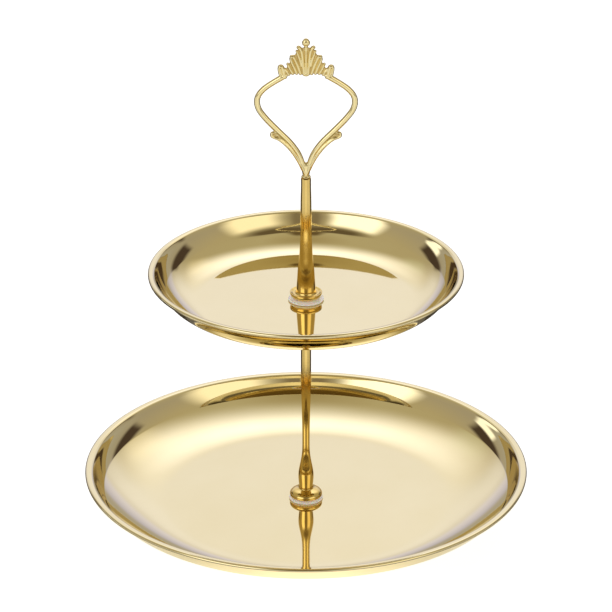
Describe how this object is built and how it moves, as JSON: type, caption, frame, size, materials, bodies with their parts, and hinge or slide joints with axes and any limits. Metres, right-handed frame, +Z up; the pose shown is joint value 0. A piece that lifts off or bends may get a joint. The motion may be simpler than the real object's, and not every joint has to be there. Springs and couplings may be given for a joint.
{
  "type": "tiered cake stand",
  "caption": "Two-tier serving stand: round mirror-finished gold dishes on a slim screwed stem, topped by an ornate crown loop handle.",
  "frame": {"origin": "on the table, under the stem's axis, at the middle of the stand's footprint", "axes": "+Z up along the stem; the crown loop lies in the XZ plane, so -Y looks at its open face"},
  "size_m": [0.254, 0.254, 0.2887],
  "materials": {
    "plate_gold": "mirror-polished pale champagne-gold plating on pressed stainless steel",
    "cast_gold": "bright gold-plated zinc casting, polished, slightly softened relief",
    "plated_steel": "gold-plated steel screw and stud",
    "milky_plastic": "milky translucent soft plastic",
    "clear_rubber": "clear soft silicone"
  },
  "bodies": {
    "base": {"lower_plate": "plate_gold", "lower_gasket_top": "milky_plastic", "lower_gasket_bottom": "milky_plastic", "foot_1": "clear_rubber", "foot_2": "clear_rubber", "foot_3": "clear_rubber", "foot_4": "clear_rubber"},
    "stem": {"lower_rod": "cast_gold", "rod_stud": "plated_steel", "upper_gasket_bottom": "milky_plastic"},
    "tier": {"upper_plate": "plate_gold"},
    "handle_gasket": {"upper_gasket_top": "milky_plastic"},
    "handle": {"handle_column": "cast_gold", "crown_loop": "cast_gold", "loop_stud": "plated_steel"},
    "screw_washer": {"bottom_washer": "plated_steel"},
    "screw": {"bottom_screw": "plated_steel"}
  },
  "joints": [
    {"name": "stem_turn", "type": "hinge", "parent": "base", "child": "stem", "pos_m": [0, 0, 0.0067], "axis": [0, 0, 1], "continuous": true},
    {"name": "upper_plate_turn", "type": "hinge", "parent": "stem", "child": "tier", "pos_m": [0, 0, 0.1321], "axis": [0, 0, 1], "continuous": true},
    {"name": "handle_unscrew", "type": "hinge", "parent": "stem", "child": "handle_gasket", "pos_m": [0, 0, 0.1339], "axis": [0, 0, 1], "range_deg": [0, 2881]},
    {"name": "handle_lift", "type": "slide", "parent": "handle_gasket", "child": "handle", "axis": [0, 0, 1], "range_m": [0, 0.0064]},
    {"name": "screw_undo", "type": "hinge", "parent": "stem", "child": "screw_washer", "pos_m": [0, 0, 0.0035], "axis": [0, 0, -1], "range_deg": [0, 2881]},
    {"name": "screw_drop", "type": "slide", "parent": "screw_washer", "child": "screw", "axis": [0, 0, -1], "range_m": [0, 0.0064]}
  ],
  "couplings": [
    {"joint": "handle_unscrew", "follows": "handle_lift", "rad_per_m": 7854},
    {"joint": "screw_undo", "follows": "screw_drop", "rad_per_m": 7854}
  ]
}
